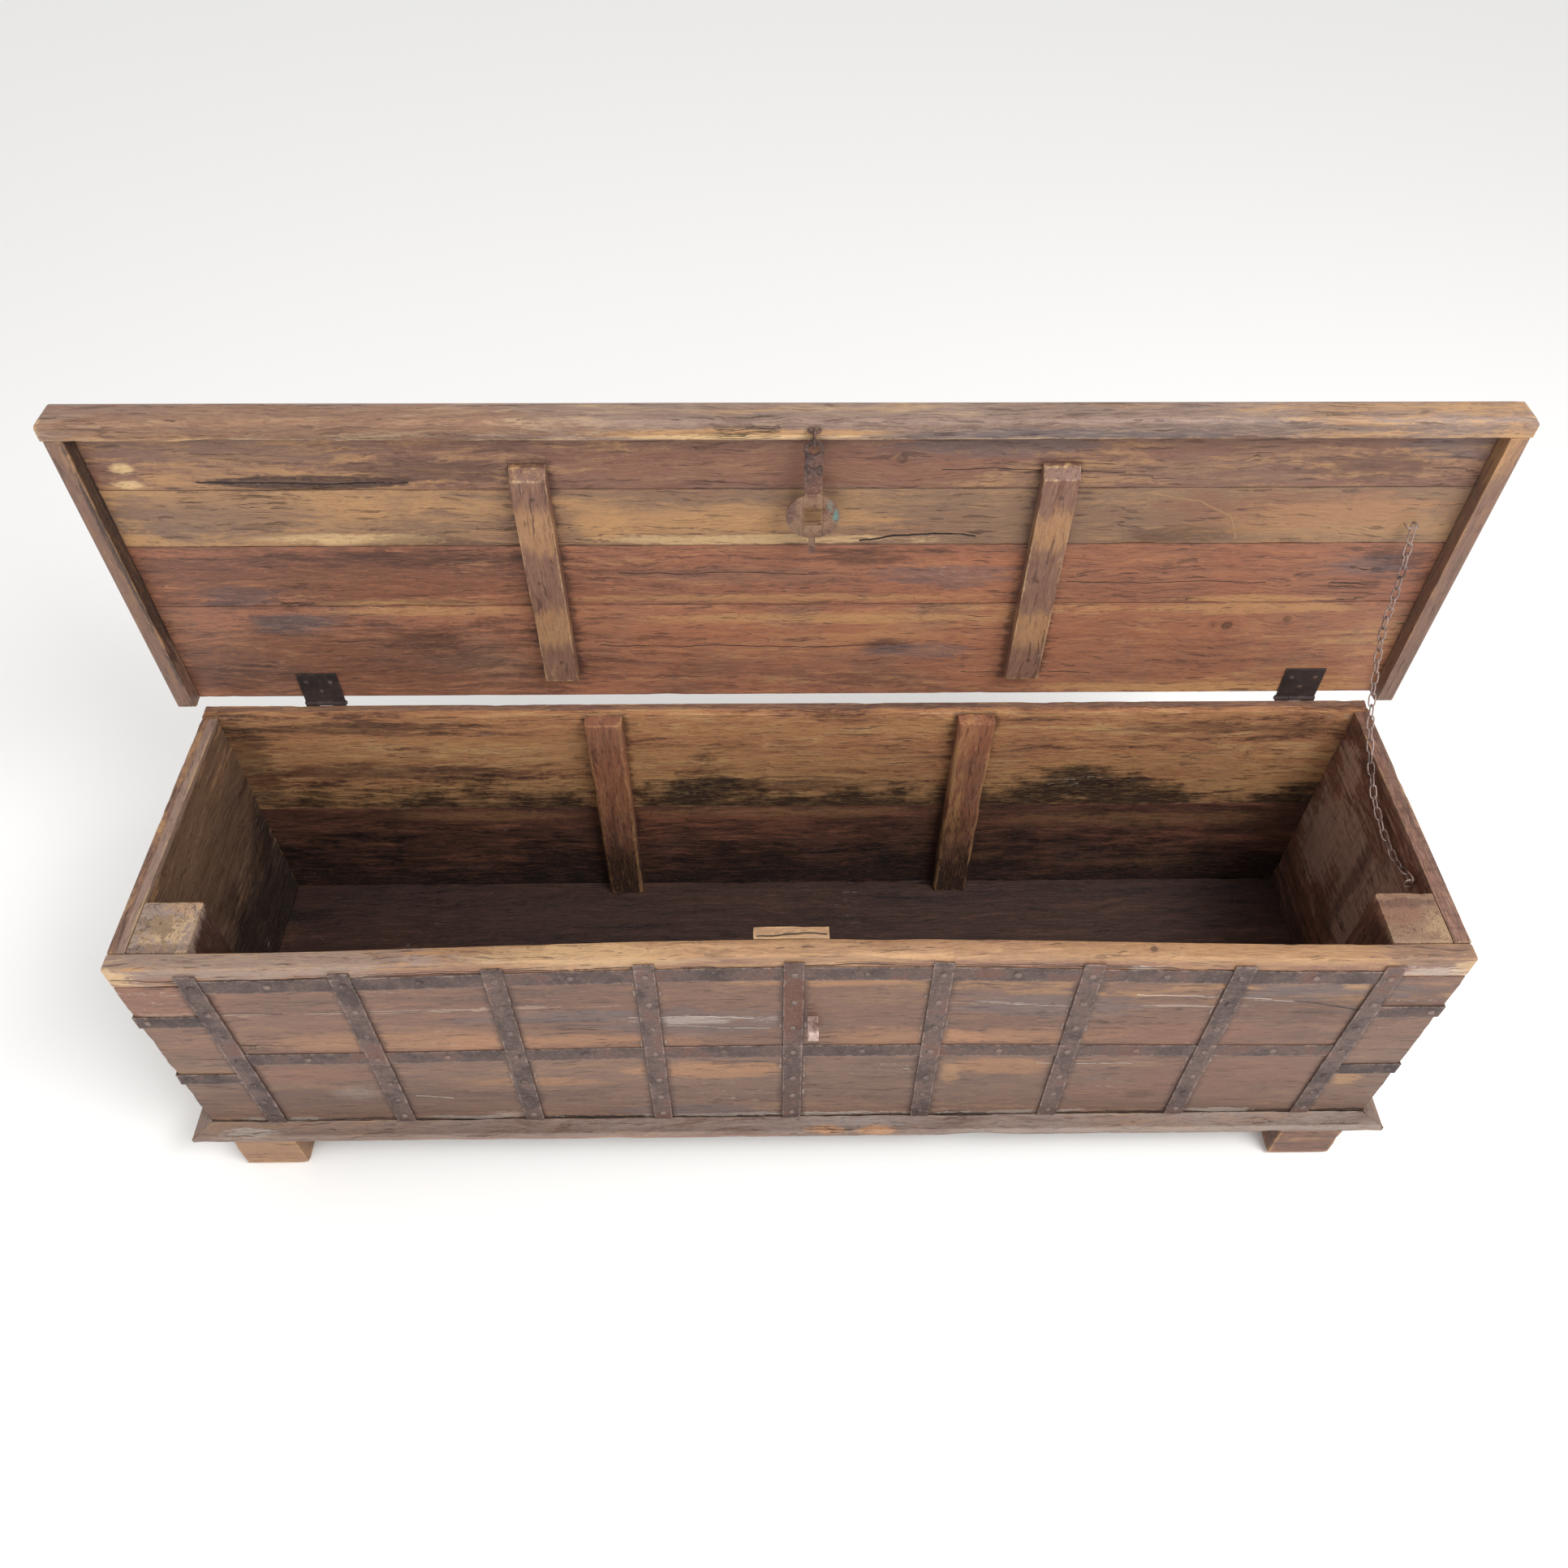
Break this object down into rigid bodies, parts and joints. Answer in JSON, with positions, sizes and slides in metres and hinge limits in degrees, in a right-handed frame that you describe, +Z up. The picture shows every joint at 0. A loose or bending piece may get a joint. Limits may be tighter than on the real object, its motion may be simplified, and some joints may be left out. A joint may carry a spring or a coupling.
{
  "type": "storage chest",
  "caption": "Long low wooden storage chest on block feet, bound with riveted iron straps, its hinged lid standing open, with a hasp and catch and a slack chain stay.",
  "frame": {"origin": "on the floor, under the centre in plan of the chest with its lid standing open", "axes": "+X to the right of a person who faces the front, +Y from front to back, +Z up"},
  "size_m": [1.715, 0.486, 0.9795],
  "materials": {
    "front_wood": "worn, waxed",
    "case_wood": "rough, unfinished",
    "lid_wood": "worn, waxed",
    "foot_wood": "rough, unfinished",
    "strap_iron": "rusted, waxed",
    "hinge_iron": "blackened",
    "hasp_iron": "rusted",
    "catch_steel": "worn bright",
    "chain_iron": "rusted"
  },
  "bodies": {
    "case": {"back_board_lower": "case_wood", "back_board_upper": "case_wood", "back_cleat_left": "case_wood", "back_cleat_right": "case_wood", "base_moulding_front": "front_wood", "base_moulding_left": "front_wood", "base_moulding_right": "front_wood", "case_hinge_leaf_left": "hinge_iron", "case_hinge_leaf_right": "hinge_iron", "case_hinge_screws": "hinge_iron", "chain_wall_staple": "chain_iron", "corner_post_left": "case_wood", "corner_post_right": "case_wood", "corner_straps": "strap_iron", "end_wall_left": "case_wood", "end_wall_right": "case_wood", "end_wall_straps": "strap_iron", "floor_boards": "case_wood", "foot_front_left": "foot_wood", "foot_front_right": "foot_wood", "foot_rear_left": "foot_wood", "foot_rear_right": "foot_wood", "front_bands": "strap_iron", "front_board_lower": "front_wood", "front_board_upper": "front_wood", "front_top_rail": "front_wood", "front_upright_straps": "strap_iron", "hasp_catch": "catch_steel", "hinge_pins": "hinge_iron", "lock_block": "case_wood", "strap_rivets": "strap_iron"},
    "lid": {"lid_board_1": "lid_wood", "lid_board_2": "lid_wood", "lid_board_3": "lid_wood", "lid_board_4": "lid_wood", "lid_cleat_left": "lid_wood", "lid_cleat_right": "lid_wood", "lid_front_rail": "lid_wood", "lid_hinge_leaf_left": "hinge_iron", "lid_hinge_leaf_right": "hinge_iron", "lid_hinge_screws": "hinge_iron", "lid_side_rail_left": "lid_wood", "lid_side_rail_right": "lid_wood", "hasp_staple": "hasp_iron", "chain_lid_staple": "chain_iron"},
    "hasp_link": {"hasp_link": "hasp_iron"},
    "hasp_plate": {"hasp_plate": "hasp_iron"},
    "chain_01": {"chain_length_01": "chain_iron"},
    "chain_02": {"chain_length_02": "chain_iron"},
    "chain_03": {"chain_length_03": "chain_iron"},
    "chain_04": {"chain_length_04": "chain_iron"},
    "chain_05": {"chain_length_05": "chain_iron"},
    "chain_06": {"chain_length_06": "chain_iron"},
    "chain_07": {"chain_length_07": "chain_iron"},
    "chain_08": {"chain_length_08": "chain_iron"},
    "chain_09": {"chain_length_09": "chain_iron"},
    "chain_10": {"chain_length_10": "chain_iron"},
    "chain_11": {"chain_length_11": "chain_iron"}
  },
  "joints": [
    {"name": "lid_hinge", "type": "hinge", "parent": "case", "child": "lid", "pos_m": [0, 0.22, 0.5055], "axis": [-1, 0, 0], "range_deg": [-90, 5]},
    {"name": "hasp_link_hang", "type": "hinge", "parent": "lid", "child": "hasp_link", "pos_m": [0.025, 0.191, 0.9695], "axis": [-1, 0, 0], "range_deg": [-5.4, 95.5]},
    {"name": "hasp_plate_swing", "type": "hinge", "parent": "hasp_link", "child": "hasp_plate", "pos_m": [0.025, 0.191, 0.95676], "axis": [-1, 0, 0], "range_deg": [0, 75]},
    {"name": "chain_turn_01", "type": "hinge", "parent": "case", "child": "chain_01", "pos_m": [0, -0.085, 0.482], "axis": [-1, 0, 0], "range_deg": [-1.5, 24.8]},
    {"name": "chain_turn_02", "type": "hinge", "parent": "chain_01", "child": "chain_02", "pos_m": [0, -0.04343, 0.46698], "axis": [-1, 0, 0], "range_deg": [-0.9, 14.5]},
    {"name": "chain_turn_03", "type": "hinge", "parent": "chain_02", "child": "chain_03", "pos_m": [0, 0.00635, 0.47166], "axis": [-1, 0, 0], "range_deg": [-14.3, 0.9]},
    {"name": "chain_turn_04", "type": "hinge", "parent": "chain_03", "child": "chain_04", "pos_m": [0, 0.04847, 0.48505], "axis": [-1, 0, 0], "range_deg": [-1.4, 22.6]},
    {"name": "chain_turn_05", "type": "hinge", "parent": "chain_04", "child": "chain_05", "pos_m": [0, 0.08847, 0.51504], "axis": [-1, 0, 0], "range_deg": [-63.1, 3.6]},
    {"name": "chain_turn_06", "type": "hinge", "parent": "chain_05", "child": "chain_06", "pos_m": [0, 0.11855, 0.54743], "axis": [-1, 0, 0], "range_deg": [-65.4, 3.8]},
    {"name": "chain_turn_07", "type": "hinge", "parent": "chain_06", "child": "chain_07", "pos_m": [0, 0.14625, 0.58906], "axis": [-1, 0, 0], "range_deg": [-14.5, 0.9]},
    {"name": "chain_turn_08", "type": "hinge", "parent": "chain_07", "child": "chain_08", "pos_m": [0, 0.1652, 0.62899], "axis": [-1, 0, 0], "range_deg": [-17.6, 1.1]},
    {"name": "chain_turn_09", "type": "hinge", "parent": "chain_08", "child": "chain_09", "pos_m": [0, 0.18324, 0.67562], "axis": [-1, 0, 0], "range_deg": [-68.3, 3.9]},
    {"name": "chain_turn_10", "type": "hinge", "parent": "chain_09", "child": "chain_10", "pos_m": [0, 0.18624, 0.71972], "axis": [-1, 0, 0], "range_deg": [-4.5, 78]},
    {"name": "chain_turn_11", "type": "hinge", "parent": "chain_10", "child": "chain_11", "pos_m": [0, 0.19376, 0.76915], "axis": [-1, 0, 0], "range_deg": [-4.1, 71.9]}
  ],
  "couplings": [
    {"joint": "hasp_link_hang", "follows": "lid_hinge", "ratio": -1.06},
    {"joint": "chain_turn_01", "follows": "lid_hinge", "ratio": -0.2735},
    {"joint": "chain_turn_02", "follows": "lid_hinge", "ratio": -0.1595},
    {"joint": "chain_turn_03", "follows": "lid_hinge", "ratio": 0.1574},
    {"joint": "chain_turn_04", "follows": "lid_hinge", "ratio": -0.249},
    {"joint": "chain_turn_05", "follows": "lid_hinge", "ratio": 0.6989},
    {"joint": "chain_turn_06", "follows": "lid_hinge", "ratio": 0.7248},
    {"joint": "chain_turn_07", "follows": "lid_hinge", "ratio": 0.1594},
    {"joint": "chain_turn_08", "follows": "lid_hinge", "ratio": 0.1939},
    {"joint": "chain_turn_09", "follows": "lid_hinge", "ratio": 0.7574},
    {"joint": "chain_turn_10", "follows": "lid_hinge", "ratio": -0.8646},
    {"joint": "chain_turn_11", "follows": "lid_hinge", "ratio": -0.7973}
  ]
}
